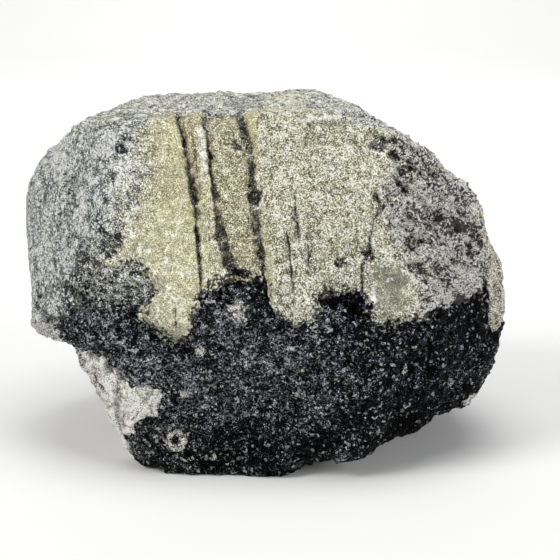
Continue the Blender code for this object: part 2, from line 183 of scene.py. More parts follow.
# Turned axes for noise whose lumps lean, and a squash of Y for creases that run up a slope.
LEANING = np.array([[0.94, 0.0, 0.34], [0.0, 1.0, 0.0], [-0.34, 0.0, 0.94]])
FABRIC = np.array([[0.83, 0.0, 0.56], [0.0, 1.0, 0.0], [-0.56, 0.0, 0.83]])
TURN = np.array([[0.00, 0.80, 0.60], [-0.80, 0.36, -0.48], [-0.60, -0.48, 0.64]])
FLATTENED = np.array([1.0, 0.25, 1.0])


# ---- repeatable noise
def ramp(values, start, end):
    """0 at start, 1 at end and smooth between them."""
    share = np.clip((values - start) / (end - start), 0.0, 1.0)
    return share * share * (3.0 - 2.0 * share)


def scrambled(cell, seed):
    """A repeatable random number from 0 to 1 for each whole-number cell."""
    keys = cell.astype(np.int64).astype(np.uint32)
    mixed = keys[:, 0] * np.uint32(73856093) ^ keys[:, 1] * np.uint32(19349663)
    mixed ^= keys[:, 2] * np.uint32(83492791) ^ np.uint32(seed * 2654435 + 97)
    for shift, factor in ((16, 2146121005), (15, 2221713035)):
        mixed ^= mixed >> np.uint32(shift)
        mixed *= np.uint32(factor)
    mixed ^= mixed >> np.uint32(16)
    return mixed / 4294967296.0


def noise(points, size, seed, stretch=(1.0, 1.0, 1.0)):
    """Smooth noise from about -1 to 1 with lumps of the given size."""
    spots = (points / (size * np.array(stretch))) @ TURN + seed * 7.31
    corner = np.floor(spots)
    inside = spots - corner
    blend = inside * inside * inside * (inside * (inside * 6.0 - 15.0) + 10.0)
    total = np.zeros(len(points))
    for step in np.ndindex(2, 2, 2):
        at = corner + step
        away = inside - step
        weight = np.prod(np.where(np.array(step) == 1, blend, 1.0 - blend), axis=1)
        tilt = np.stack([scrambled(at, seed * 3 + axis) for axis in range(3)], axis=1) * 2.0 - 1.0
        total += weight * (tilt * away).sum(axis=1)
    return total * 1.6


def fractal(points, size, seed, octaves=3, stretch=(1.0, 1.0, 1.0)):
    """Noise with finer noise of half the size on it, octave by octave."""
    total = np.zeros(len(points))
    for octave in range(octaves):
        total += noise(points, size * 0.5 ** octave, seed + octave, stretch) * 0.55 ** octave
    return total


def cells(points, size, seed, stretch=(1.0, 1.0, 1.0)):
    """Nearest of the scattered cell centres: its distance, the next one's, the offset and a random number."""
    spots = points / (size * np.array(stretch))
    corner = np.floor(spots)
    nearest, second = np.full((2, len(points)), 9.0)
    offset = np.zeros_like(spots)
    chance = np.zeros(len(points))
    for step in np.ndindex(3, 3, 3):
        at = corner + np.array(step) - 1
        centre = at + np.stack([scrambled(at, seed + axis) for axis in range(3)], axis=1)
        away = spots - centre
        distance = np.sqrt((away * away).sum(axis=1))
        closer = distance < nearest
        second = np.where(closer, nearest, np.minimum(second, distance))
        nearest = np.where(closer, distance, nearest)
        offset[closer] = away[closer]
        chance = np.where(closer, scrambled(at, seed + 7), chance)
    return nearest, second, offset, chance


# ---- the smooth stone from the frame
def ball_directions():
    """Directions from the heart, crowded towards the front, with the ball's triangles."""
    bpy.ops.mesh.primitive_ico_sphere_add(subdivisions=BALL_LEVEL, radius=1.0)
    ball = bpy.context.object
    mesh = ball.data
    points = np.empty(len(mesh.vertices) * 3)
    mesh.vertices.foreach_get("co", points)
    faces = np.empty(len(mesh.polygons) * 3, np.int64)
    mesh.polygons.foreach_get("vertices", faces)
    bpy.data.objects.remove(ball)
    bpy.data.meshes.remove(mesh)
    points = points.reshape(-1, 3) + FRONT_CROWDING
    points /= np.linalg.norm(points, axis=1)[:, None]
    return points, faces.reshape(-1, 3)


def neighbours(faces, count):
    """The 6 neighbours of each point; a point with 5 lists itself as the last."""
    ends = np.concatenate([faces[:, [0, 1]], faces[:, [1, 2]], faces[:, [2, 0]]])
    ends = ends[np.argsort(ends[:, 0], kind="stable")]
    first = np.searchsorted(ends[:, 0], np.arange(count))
    table = np.tile(np.arange(count)[:, None], (1, 6))
    place = np.arange(len(ends)) - first[ends[:, 0]]
    table[ends[:, 0], place] = ends[:, 1]
    return table


def tree_of(node):
    """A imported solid's faces, ready for rays, in millimetres."""
    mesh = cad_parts[node].data
    points = [tuple(v.co / METRES) for v in mesh.vertices]
    return BVHTree.FromPolygons(points, [tuple(p.vertices) for p in mesh.polygons])


def cast_to_frame(directions):
    """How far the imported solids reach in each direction, and 1 where it is the schist that is hit."""
    crystal = tree_of("phenakite_crystal")
    schist = tree_of("mica_schist")
    heart = Vector(HEART)
    reach, cover = np.zeros((2, len(directions)))
    for index, direction in enumerate(directions):
        out = Vector(direction)
        start = heart + out * CAST_FROM
        hits = [tree.ray_cast(start, -out)[3] for tree in (crystal, schist)]
        depths = [CAST_FROM if depth is None else depth for depth in hits]
        reach[index] = CAST_FROM - min(depths)
        cover[index] = depths[1] < depths[0]
    return reach, cover


def smoothed(values, near, times):
    """The values averaged with their neighbours, so many times over."""
    for _ in range(times):
        values = 0.4 * values + 0.6 * values[near].mean(axis=1)
    return values


def distance_to_rim(points, cover, near):
    """Millimetres to the edge of the schist: over 0 inside it and under 0 on the bare crystal."""
    edge = np.flatnonzero((cover[near] != cover[:, None]).any(axis=1))
    tree = KDTree(len(edge))
    for index in edge:
        tree.insert(points[index], index)
    tree.balance()
    away = np.array([tree.find(point)[2] for point in points])
    return smoothed(np.where(cover > 0.5, away, -away), near, RIM_SMOOTHING)


def closed_gaps(reach, near):
    """Fills the rays that slipped into the thin joint between the two solids."""
    grown = reach
    for _ in range(4):
        grown = grown[near].max(axis=1)
    for _ in range(4):
        grown = grown[near].min(axis=1)
    return np.where(reach < grown - 0.5, grown, reach)


def normals_of(points, faces):
    """The outward direction at each point, from the triangles round it."""
    corners = points[faces]
    across = np.cross(corners[:, 1] - corners[:, 0], corners[:, 2] - corners[:, 0])
    total = np.zeros_like(points)
    for corner in range(3):
        for axis in range(3):
            total[:, axis] += np.bincount(faces[:, corner], across[:, axis], len(points))
    return total / np.maximum(np.linalg.norm(total, axis=1), 1e-9)[:, None]


# ---- places on the stone
# The ramps, sizes and shares in this part and in the colours were set against the photograph.
def edge_at(line, heights):
    """The x of a line of (x, z) points at each height."""
    down = np.array(sorted(line, key=lambda point: point[1]))
    return np.interp(heights, down[:, 1], down[:, 0])


def from_middle(points, patch):
    """Distance from a rounded patch's middle, which is 1 at its edge."""
    return np.linalg.norm((points - patch[0]) / patch[1], axis=1)


def weighed(found, start=0.0, **shares):
    """The start and a share of each kind of surface that a point belongs to."""
    return sum((share * found[kind] for kind, share in shares.items()), start)


def places(points, normals):
    """How much each point belongs to each kind of surface of the crystal, from 0 to 1."""
    x, y, z = points.T
    wander = 1.4 * fractal(points, 5.0, 11, 3)
    front = ramp(y + 0.6 * wander, *GROOVED_FROM_Y)
    found = {}
    found["back"] = ramp(y + wander + 7.0 * fractal(points, 6.0, 19, 4), 1.0, 12.0)
    behind_edge = y - np.interp(x, *np.array(TOP_EDGE).T)
    found["top"] = ramp(normals[:, 2] + 0.13 * wander, 0.58, 0.84) * (1.0 - found["back"])
    found["top"] *= ramp(behind_edge + 0.5 * fractal(points, 1.5, 23, 3), -0.2, 0.6)
    blur = 2.0 + 2.2 * ramp(z, 52.0, 42.0)
    straying = 2.4 * fractal(points, 3.5, 13, 2) + 1.6 * fractal(points, 0.9, 15, 3)
    flank = ramp((edge_at(FLANK_EDGE, z) - x + straying) / blur, -1.0, 1.0)
    found["flank"] = flank * (1.0 - found["back"]) * (1.0 - found["top"])
    found["grainy"] = ramp(x - edge_at(GRAINY_EDGE, z), 0.2, 1.4) * front
    found["rugged"] = ramp(x - edge_at(RUGGED_EDGE, z) + wander, -0.6, 2.6) * (1.0 - found["top"])
    found["slab"] = ramp(x - edge_at(SLAB_EDGE, z) + 0.25 * wander, 0.0, 0.6) * ramp(z, 17.0, 19.5)
    fraying = 2.0 * straying
    slanted = 0.5 * (y + 6.0) + 3.0 * fractal(points, 5.0, 29, 3)
    found["slab"] = found["slab"] * ramp(z + fraying + slanted, 42.0, 38.0) * ramp(y + fraying, 9.0, 1.0)
    found["faded"] = ramp(x - edge_at(FLANK_EDGE, z), 8.0, 0.0) * ramp(z, 33.0, 40.0) * front
    found["ledge"] = ramp(25.2 - z + 0.15 * wander, -0.2, 0.3) * ramp(z, 22.6, 23.2)
    found["ledge"] = found["ledge"] * ramp(x, -39.0, -38.0) * ramp(-31.0 - x, 0.0, 0.6) * ramp(y, -8.0, -11.0)
    broken_under = np.interp(x, *np.array(BREAK_TOP).T)
    below = ramp(broken_under - z + straying * ramp(y, -12.0, -4.0), -0.8, 0.8)
    found["broken"] = below * ramp(-8.0 - x, 0.0, 6.0)
    found["face"] = front * (1.0 - flank) * (1.0 - found["rugged"]) * (1.0 - found["top"])
    first, second, third = (edge_at(GROOVES[name][1], z) for name in ("first", "second", "third"))
    found["strip"] = (
        ramp(x - second, 0.1, 0.5) * ramp(third - x, 0.1, 0.5)
        * ramp(z, STRIP_ENDS[0], STRIP_ENDS[0] + 2.0)
        * ramp(STRIP_ENDS[1] + 0.25 * wander - z, -0.2, 0.3)
        * ramp(behind_edge, 0.1, -0.3) * front
    )
    found["ridge"] = ramp(x - first, 0.5, 1.2) * ramp(second - x, 0.1, 0.6) * front
    patchy = ramp(fractal(points, 1.6, 17, 3, (1.0, 1.0, 2.5)), -0.35, 0.25)
    found["bright"] = found["ridge"] * ramp(z, 49.5, 51.5) * ramp(z, 58.4, 57.2)
    found["bright"] = found["bright"] * ramp(x - second, -1.7, -1.2) * (0.35 + 0.65 * patchy)
    found["bright"] *= ramp(fine_streaks(points), -0.9, -0.2)
    found["rusty"] = ramp(x - first, -0.6, 0.2) * ramp(second - 1.5 - x, -0.2, 0.4)
    found["rusty"] = found["rusty"] * ramp(z, 47.0, 53.0) * front
    found["pearl"] = ramp(from_middle(points, PEARL) + straying / 6.0, 1.2, 0.6)
    left, right, bottom, top = SQUARE
    # The lip over the sunk square: raised, and painted with a highlight.
    found["lip"] = (0.35 + 0.65 * patchy) * (
        ramp(x, left - 0.5, left + 0.8) * ramp(right + 0.3 - x, 0.0, 0.6) * front
        * ramp(np.abs(z - top - 0.35 + 0.12 * wander), 0.45, 0.15)
    )
    found["square"] = (
        ramp(x + 0.2 * wander, left, left + 0.6) * ramp(right - x, 0.0, 0.5)
        * ramp(z + 0.2 * wander, bottom, bottom + 0.8)
        * ramp(top + 0.15 * wander - z, -0.1, 0.25) * front
    )
    return found


def distance_to_path(points, path):
    """Distance to a path of straight stretches in space."""
    nearest = np.full(len(points), 99.0)
    for start, end in zip(np.array(path[:-1]), np.array(path[1:])):
        along = end - start
        share = np.clip(((points - start) @ along) / (along @ along), 0.0, 1.0)
        nearest = np.minimum(nearest, np.linalg.norm(points - start - share[:, None] * along, axis=1))
    return nearest


def creases(points):
    """How deep the creases and cracks are at each point."""
    ragged = 1.0 + 0.5 * noise(points, 1.2, 35)
    total = np.zeros(len(points))
    flat = points * FLATTENED
    for half_width, deepest, path in CREASES:
        away = distance_to_path(flat, np.array(path) * FLATTENED)
        total = np.maximum(total, deepest * ramp(away / ragged, half_width * 1.6, half_width * 0.2))
    return total * ramp(points[:, 1], 0.0, -4.0)


def fine_streaks(points):
    """Thin upright streaks of light and dark."""
    return noise(points, 0.45, 441, (1.0, 1.0, 9.0))


def clumped(points):
    """Leaning clumps of the rugged flank, which stand out and are paler."""
    return fractal(points @ FABRIC, 1.5, 261, 3, (1.9, 1.0, 0.8))


def across_layer(points):
    """How far each point is from the middle of its layer in the slab, as a share of the layer."""
    layers = points @ LAYERED_ALONG + 0.6 * fractal(points, 6.0, 241, 2)
    return np.abs((layers / LAYER) % 1.0 - 0.5)


def patches(points, listed):
    """1 in the middle of the listed patches, and ragged towards their edges."""
    total = np.zeros(len(points))
    ragged = fractal(points @ FABRIC, 1.3, 31, 4, (1.6, 1.0, 0.8))
    for *centre, radius in listed:
        away = np.linalg.norm(points - np.array(centre), axis=1) / radius
        total = np.maximum(total, ramp(away + 0.90 * ragged, 1.25, 0.45))
    return total


def grooves(points):
    """How deep the grooves are at each point, how dark their floors are, and how brown their sides."""
    x, y, z = points.T
    front = ramp(y, *GROOVED_FROM_Y)
    depth, stain_and_shade, rust = np.zeros((3, len(points)))
    broken = ramp(fractal(points, 0.9, 45, 2), -0.75, 0.05)
    for number, (deepest, line) in enumerate(GROOVES.values()):
        low, high = line[-1][1], line[0][1]
        wobble = 0.16 * noise(points, 1.7, 41 + number) + 0.16 * noise(points, 0.55, 61 + number)
        away = np.abs(x - edge_at(line, z) + wobble)
        width = edge_at([(half, height) for _, height, half in line], z)
        width = width * (1.0 + 0.6 * fractal(points, 1.3, 81 + number, 2))
        ends = ramp(z, low, low + 1.6) * ramp(high - z, 0.0, 1.0) * front
        strength = ends * np.clip(0.95 + 0.5 * noise(points, 2.2, 101 + number), 0.2, 1.2)
        depth = np.maximum(depth, deepest * strength * ramp(away, width * 1.4, width * 0.15))
        darkest = min(1.0, deepest * 1.25)
        stain_and_shade = np.maximum(stain_and_shade, darkest * strength * ramp(away, width * 1.5, width * 0.5))
        rust = np.maximum(rust, deepest * strength * ramp(away, width * 2.6 + 0.25, width))
    return depth, stain_and_shade * (0.5 + 0.5 * broken), rust


def splinters(points):
    """The long facets of the break: their height, a random number for each and the cracks between them."""
    nearest, second, offset, chance = cells(points @ LEANING, 2.3, 251, (1.0, 1.0, 2.4))
    leaning = np.modf(chance * 29.0)[0] - 0.5
    height = (chance - 0.5) * 1.3 + offset[:, 0] * 1.1 * leaning + offset[:, 2] * 0.5 * (chance - 0.5)
    return height * ramp(second - nearest, 0.0, 0.10), chance, ramp(second - nearest, 0.14, 0.02)


def crystal_relief(points, found, groove_depth, dark, creased):
    """Height of the crystal's fine surface over the smooth stone."""
    relief = -groove_depth
    relief -= STRIP_DEPTH * found["strip"] + SQUARE_DEPTH * found["square"]
    relief += 0.25 * found["bright"] + 0.30 * found["lip"]
    streaks = fractal(points, 0.9, 131, 3, (1.0, 1.0, 7.0))
    streaky = weighed(found, 0.035, grainy=0.10, strip=0.07, ridge=0.12)
    relief += found["face"] * streaky * streaks

    nearest, second, _, chance = cells(points, 1.0, 151, (1.0, 1.0, 1.5))
    lumps = (chance - 0.35) * ramp(second - nearest, 0.0, 0.35)
    relief += lumps * (weighed(found, grainy=0.24, rugged=0.42, top=0.22, back=0.36, flank=0.10) + 0.03)

    _, _, offset, chance = cells(points, 1.3, 171)
    plates = offset[:, 0] * (chance - 0.5) + offset[:, 2] * (np.modf(chance * 17.0)[0] - 0.5)
    relief += plates * weighed(found, flank=0.30, rugged=0.22, back=0.16)

    rough = weighed(found, rugged=1.0, back=0.8, top=0.35, flank=0.30)
    relief -= creased
    relief += (0.50 * found["rugged"] * (1.0 - found["slab"]) + 0.12 * found["grainy"]) * clumped(points)
    relief += 0.55 * found["top"] * fractal(points, 2.3, 271, 3, (1.7, 1.0, 1.0)) + 0.15 * found["ledge"]
    relief += rough * (0.42 * fractal(points, 3.6, 191, 2) + 0.30 * fractal(points, 1.1, 201, 3))
    relief += (0.035 + 0.05 * found["grainy"]) * fractal(points, 0.8, 211, 2)
    relief += found["face"] * 0.10 * fractal(points, 4.5, 221, 2)
    relief -= dark * (0.60 + 0.55 * noise(points, 0.9, 231))
    relief += found["slab"] * 0.32 * across_layer(points)
    relief += found["broken"] * (splinters(points)[0] + 0.06 * fractal(points, 1.1, 201, 2))
    return relief


def schist_relief(points, shaded_hollows):
    """Height of the schist's lumps, grains and flakes over the smooth stone."""
    relief = 0.5 * fractal(points, 9.0, 299, 2) + 0.42 * fractal(points, 5.0, 301, 2)
    relief = relief + 0.45 * fractal(points, 2.0, 303, 2) - 0.55 * shaded_hollows
    nearest, second, _, chance = cells(points, 1.6, 311)
    relief += (0.45 * chance - 0.15) * ramp(second - nearest, 0.0, 0.45)
    nearest, second, offset, chance = cells(points, 0.75, 321, (1.25, 1.25, 0.8))
    relief += (0.50 * chance - 0.17) * ramp(second - nearest, 0.0, 0.4)
    relief += 0.30 * (offset[:, 0] * (chance - 0.5) + offset[:, 2] * (np.modf(chance * 13.0)[0] - 0.5))
    return relief + 0.10 * fractal(points, 0.6, 331, 2)


def painted_relief_shade(height, near):
    """How far each point stands over or under the surface round it, in tenths of a millimetre, for painting
    light on bumps and shade in hollows.
    """
    return np.clip((height - smoothed(height, near, 8)) / 0.1, -2.5, 1.6)


# ---- colours
def linear(red, green, blue):
    """A colour given as it looks on screen, from 0 to 255, as the shader wants it."""
    share = np.array([red, green, blue]) / 255.0
    return np.where(share <= 0.04045, share / 12.92, ((share + 0.055) / 1.055) ** 2.4)


BLACK = linear(0, 0, 0)
CREAM = linear(168, 163, 131)
YELLOW_CREAM = linear(171, 166, 130)
OLIVE = linear(141, 135, 105)
GRAINY_GREY = linear(163, 158, 128)
FLANK_GREY = linear(123, 127, 118)
FLANK_SHADE = linear(98, 102, 94)
RUGGED_GREY = linear(182, 176, 144)
SLAB_CREAM = linear(196, 170, 124)
SLAB_BROWN = linear(104, 84, 58)
TOP_GREY = linear(144, 145, 131)
TOP_YELLOW = linear(234, 225, 168)
BREAK_WHITE = linear(228, 226, 212)
BREAK_LILAC = linear(172, 162, 157)
BACK_GREY = linear(140, 141, 128)
RUST = linear(128, 116, 90)
STAIN_AND_SHADE = linear(44, 39, 31)
SCHIST_DARK = linear(4, 4, 10)
SCHIST_GREY = linear(25, 27, 33)
PALE_GRAIN = linear(176, 172, 158)
SCHIST_VEIL = linear(92, 95, 89)
PALE_CREAM = linear(184, 180, 149)
RIDGE_WHITE_AND_LIP_HIGHLIGHT = linear(222, 219, 203)
LOW_GREY = linear(143, 138, 120)
WISP = linear(240, 238, 222)
FADED = linear(134, 132, 115)
PEARL_GREY = linear(122, 122, 106)
# The colour of the painted sheen on the crystal's silvery patches.
PAINTED_SHEEN = linear(196, 200, 210)
# The palest that the painted colour of each stone may get.
PALEST_CRYSTAL = 0.88
PALEST_SCHIST = 0.8


def painted(colour, over, share):
    return colour * (1.0 - share[:, None]) + over * share[:, None]


def crystal_body(points, found, rust, rim, lump, block):
    """The crystal's plain colours, one kind of surface over another."""
    x, _, z = points.T
    cloud = ramp(fractal(points, 6.0, 401, 3), -0.5, 0.5)
    wisps = ramp(np.abs(fractal(points, 2.0, 407, 2, (1.0, 1.0, 1.4))), 0.16, 0.02)
    wisps *= ramp(fractal(points, 3.0, 409, 2), -0.35, 0.2) * (0.3 + 0.7 * ramp(z, 50.0, 38.0))
    low_grey = ramp(rim, -5.5, -1.0) * ramp(fractal(points, 3.0, 403, 3), -0.3, 0.3) * found["face"]
    lilac = ramp(fractal(points, 2.4, 421, 2), -0.5, 0.2) * (1.0 - block)
    coats = [
        (YELLOW_CREAM, cloud),
        (GRAINY_GREY, found["grainy"] * (0.35 + 0.5 * ramp(z, 40.0, 50.0))),
        (PALE_CREAM, ramp(z, 46.0, 32.0) * ramp(fractal(points, 4.0, 405, 2), -0.6, 0.3)),
        (FADED, 0.85 * found["faded"]),
        (WISP, 0.7 * wisps * (1.0 - found["strip"])),
        (BLACK, 0.22 * found["grainy"] * ramp(z, 47.0, 38.0)),
        (LOW_GREY, 0.85 * (ramp(z, 29.0, 26.0) * ramp(x, -12.0, -13.5))),
        (PEARL_GREY, np.maximum(0.55 * low_grey, 0.9 * found["pearl"])),
        (OLIVE, np.maximum(found["strip"] * 0.85, found["square"] * 0.7)),
        # The bright ridge painted white, and a painted highlight along the lip over the sunk square.
        (RIDGE_WHITE_AND_LIP_HIGHLIGHT, np.maximum(0.9 * found["bright"], 0.7 * found["lip"])),
        (RUST, np.clip(0.5 * found["rusty"] + 0.8 * rust, 0.0, 0.9)),
        (RUGGED_GREY, found["rugged"] * (0.65 + 0.35 * cloud)),
        (FLANK_GREY, found["flank"]),
        (FLANK_SHADE, found["flank"] * ramp(rim, -10.0, -1.0) * (0.4 + 0.6 * cloud)),
        (TOP_GREY, found["top"]),
        (TOP_YELLOW, lump * ramp(fractal(points, 1.5, 411, 2), -0.5, 0.1)),
        (BACK_GREY, found["back"]),
        (SLAB_CREAM, found["slab"]),
        (SLAB_BROWN, found["slab"] * ramp(across_layer(points), 0.15, 0.35) * 0.9),
        (BREAK_WHITE, found["broken"]),
        (BREAK_LILAC, found["broken"] * lilac * 0.85),
        (BREAK_WHITE, found["ledge"]),
    ]
    colour = np.tile(CREAM, (len(points), 1))
    for coat, share in coats:
        colour = painted(colour, coat, share)
    return colour


def crystal_masks(points, found, stain_and_shade, dark, near_rim, painted_sheen, lump):
    """How much of the crystal dark grains and silvery flakes cover, the flakes' white being partly painted
    glint, and how grainy it is.
    """
    patchy = ramp(fractal(points, 3.5, 431, 3), -0.5, 0.5)
    marked = np.maximum(stain_and_shade, dark)
    dark_cover = 0.02 * found["grainy"] + found["flank"] * (0.05 + 0.30 * patchy)
    dark_cover += found["rugged"] * (0.08 + 0.45 * patchy) + found["back"] * (0.05 + 0.30 * patchy)
    dark_cover += found["top"] * 0.06 * patchy + 0.60 * near_rim
    dark_cover *= 1.0 - 0.85 * np.maximum(found["broken"], np.maximum(found["pearl"], found["slab"]))
    dark_cover *= 1.0 - 0.8 * painted_sheen
    dark_cover = np.clip(dark_cover + 0.35 * marked, 0.0, 1.0)

    silver_and_glint = 0.03 + 0.12 * found["grainy"] + found["flank"] * (0.45 + 0.5 * (1.0 - patchy))
    silver_and_glint += weighed(found, rugged=0.12, top=0.25, back=0.3, bright=0.5)
    silver_and_glint = (silver_and_glint + 0.5 * painted_sheen) * (1.0 - marked)
    silver_and_glint = np.clip(silver_and_glint * (1.0 - 0.85 * found["slab"]), 0.0, 1.0)

    contrast = weighed(found, 0.19, grainy=0.33, flank=0.64, rugged=0.90)
    contrast += weighed(found, top=0.34, back=0.40, strip=0.22, slab=0.62)
    contrast += weighed(found, ridge=0.12, broken=0.12) + 0.10 * lump * found["top"]
    contrast += 0.45 * marked + 0.2 * found["faded"] * found["face"]
    contrast = contrast * (1.0 - 0.6 * found["pearl"]) * (1.0 - 0.25 * found["slab"])
    contrast = np.clip(contrast + 0.5 * found["ledge"], 0.0, 1.3)
    return dark_cover, silver_and_glint, contrast


def crystal_lift(points, found, relief_shade, contrast, dark, painted_sheen, block):
    """How many stops brighter or darker than its plain colour each point of the crystal is."""
    mottled = weighed(found, 0.14, flank=2.6, top=1.0, back=0.9, grainy=0.35)
    streaky = weighed(found, ridge=0.45, rusty=0.8, strip=0.45, grainy=0.25)
    banks = fractal(points, 1.3, 461, 3, (2.5, 1.0, 1.0))
    fibres = noise(points @ LEANING, 0.6, 465, (1.0, 1.0, 7.0))
    _, chance, cracks = splinters(points)
    # Painted light and shade: bumps of the relief are brightened and its hollows darkened; the patches of
    # painted sheen are brightened too.
    lift = relief_shade * (0.22 + 0.25 * contrast) + 1.3 * painted_sheen - 2.0 * dark
    lift += fractal(points, 2.2, 451, 3) * mottled
    lift += 1.9 * found["rugged"] * ramp(points[:, 0], 24.0, 31.0) + 0.8 * found["ledge"]
    lift -= 2.3 * found["slab"] * ramp(noise(points, 1.9, 471), -0.2, 0.25)
    lift += weighed(found, rugged=0.3, slab=-0.9)
    lift += clumped(points) * (2.6 * found["rugged"] * (1.0 - found["slab"]) + 0.35 * found["grainy"])
    lift += banks * 1.3 * found["top"] + fibres * 1.5 * found["broken"] * block
    lift += (1.5 * (chance - 0.4) * (1.0 - block) - 1.3 * cracks) * found["broken"]
    return lift + fine_streaks(points) * streaky


def crystal_colours(points, found, stain_and_shade, rust, dark, rim, relief_shade):
    """Colour of the crystal, with how much of it dark and silvery grains cover, the silvery ones partly
    painted glints, and how grainy it is.
    """
    near_rim = ramp(rim + 0.4 * fractal(points, 0.8, 27, 2), -1.6, -0.1)
    lump = ramp(from_middle(points, YELLOW_LUMP) + 0.7 * fractal(points, 2.5, 413, 3), 1.2, 0.6)
    block = ramp(from_middle(points, BREAK_BLOCK), 1.15, 0.85)
    painted_sheen = patches(points, PAINTED_SHEEN_PATCHES)
    masks = crystal_masks(points, found, stain_and_shade, dark, near_rim, painted_sheen, lump)
    colour = crystal_body(points, found, rust, rim, lump, block)
    # Painted sheen: the silvery patches are painted pale, and brightened in crystal_lift.
    colour = painted(colour, PAINTED_SHEEN, 0.35 * painted_sheen)
    # Stains and painted shade: the groove floors, the cracks and the dark patches are darkened.
    colour = painted(colour, STAIN_AND_SHADE, np.maximum(0.85 * stain_and_shade, 0.45 * dark))
    lift = crystal_lift(points, found, relief_shade, masks[2], dark, painted_sheen, block)
    colour = np.minimum(colour * 2.0 ** lift[:, None], PALEST_CRYSTAL)
    return colour, np.stack(masks, axis=1)


def schist_colours(points, rim, shaded_hollows, relief_shade):
    """Colour of the schist, with how much of it pale grains and bright mica flakes cover."""
    x, _, z = points.T
    patchy = ramp(fractal(points, 9.0, 501, 3), -0.45, 0.5)
    left = ramp(x, 16.0, -22.0)
    low = ramp(z, 17.0, 7.0)
    pale = np.clip(0.08 + 0.40 * patchy + 0.40 * left, 0.0, 1.0)
    colour = painted(np.tile(SCHIST_DARK, (len(points), 1)), SCHIST_GREY, pale)
    veil = ramp(z, 29.0, 36.0) * ramp(x, -15.5, -19.0)
    colour = painted(colour, SCHIST_VEIL, veil * (0.4 + 0.6 * patchy))
    right = ramp(x, 4.0, 26.0)
    shade = 2.2 * fractal(points, 1.9, 507, 3) + 1.6 * fractal(points, 6.0, 509, 2)
    shade = shade - 2.2 * right - 2.3 * low - 0.5
    # Painted shade: the schist is darkened by 2.5 stops in its hollows, and shows fewer mica flakes there.
    shade -= 0.9 * ramp(rim, 5.0, 1.0) * ramp(x, -22.0, -15.0) + 2.5 * shaded_hollows
    mica = 0.25 + 0.5 * ramp(fractal(points, 2.5, 511, 2), -0.3, 0.5)
    mica = mica * (1.0 - 0.4 * np.maximum(right, low)) * (1.0 - shaded_hollows)
    # Painted light and shade: bumps of the relief are brightened and its hollows darkened.
    colour = np.minimum(colour * 2.0 ** (0.45 * relief_shade + shade)[:, None], PALEST_SCHIST)
    ragged = fractal(points, 0.8, 515, 2)
    round_grain = np.linalg.norm(points - RING_GRAIN[0], axis=1) / RING_GRAIN[1]
    colour = painted(colour, PALE_GRAIN, ramp(np.abs(round_grain - 0.8) + 0.25 * ragged, 0.32, 0.12))
    for *centre, width in PALE_GRAINS:
        away = np.linalg.norm(points - np.array(centre), axis=1) / width
        colour = painted(colour, PALE_GRAIN, ramp(away + 0.5 * ragged, 1.1, 0.7))
    return colour, np.stack([pale, mica, patchy], axis=1)


# ---- meshes
def kept_in_box(points):
    """The points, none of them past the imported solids' box."""
    return np.clip(points, LOWEST + BOX_MARGIN, HIGHEST - BOX_MARGIN)


def add_object(name, data):
    """A new object in the scene."""
    thing = bpy.data.objects.new(name, data)
    bpy.context.scene.collection.objects.link(thing)
    return thing


def add_mesh(name, points, faces, colours, masks, spare, triangles):
    """A shaded object in metres whose spare points are thinned first, down to the number of triangles."""
    mesh = bpy.data.meshes.new(name)
    mesh.from_pydata((points * METRES).tolist(), [], faces.tolist())
    for label, values in (("body_colour", colours), ("grain_masks", masks)):
        layer = mesh.attributes.new(label, "FLOAT_COLOR", "POINT")
        layer.data.foreach_set("color", np.column_stack([values, np.ones(len(values))]).ravel())
    thing = add_object(name, mesh)
    group = thing.vertex_groups.new(name="spare")
    group.add(np.flatnonzero(spare > 0.5).tolist(), 1.0, "REPLACE")
    thinning = thing.modifiers.new("thinning", "DECIMATE")
    thinning.ratio = min(1.0, triangles / len(faces))
    thinning.vertex_group = group.name
    thinning.vertex_group_factor = 1.0
    bpy.context.view_layer.update()
    evaluated = thing.evaluated_get(bpy.context.evaluated_depsgraph_get())
    thinned = bpy.data.meshes.new_from_object(evaluated)
    thing.modifiers.clear()
    thing.data = thinned
    bpy.data.meshes.remove(mesh)
    spots = np.empty(len(thinned.vertices) * 3)
    thinned.vertices.foreach_get("co", spots)
    boxed = kept_in_box(spots.reshape(-1, 3) / METRES) * METRES
    thinned.vertices.foreach_set("co", boxed.ravel())
    thinned.name = name
    thinned.shade_smooth()
    return thing


def shell(outer, inner, faces, wanted):
    """The closed shell between two skins over the wanted faces."""
    kept = faces[wanted[faces].all(axis=1)]
    ends = np.concatenate([kept[:, [0, 1]], kept[:, [1, 2]], kept[:, [2, 0]]])
    count = len(outer)
    both = {tuple(pair) for pair in ends[:, ::-1].tolist()}
    border = np.array([pair for pair in ends.tolist() if tuple(pair) not in both])
    start, end = border.T
    walls = np.concatenate([
        np.stack([end, start, start + count], axis=1),
        np.stack([end, start + count, end + count], axis=1),
    ])
    all_faces = np.concatenate([kept, kept[:, ::-1] + count, walls])
    used = np.unique(all_faces)
    renumbered = np.zeros(2 * count, np.int64)
    renumbered[used] = np.arange(len(used))
    return np.concatenate([outer, inner])[used], renumbered[all_faces], used


def largest_island(wanted, near):
    """The biggest connected part of the wanted points."""
    label = np.where(wanted, np.arange(len(wanted)), -1)
    while True:
        best = np.where(wanted, np.maximum(label, label[near].max(axis=1)), -1)
        best = np.where(wanted, best[np.maximum(best, 0)], -1)
        if (best == label).all():
            break
        label = best
    names, sizes = np.unique(label[wanted], return_counts=True)
    return label == names[np.argmax(sizes)]


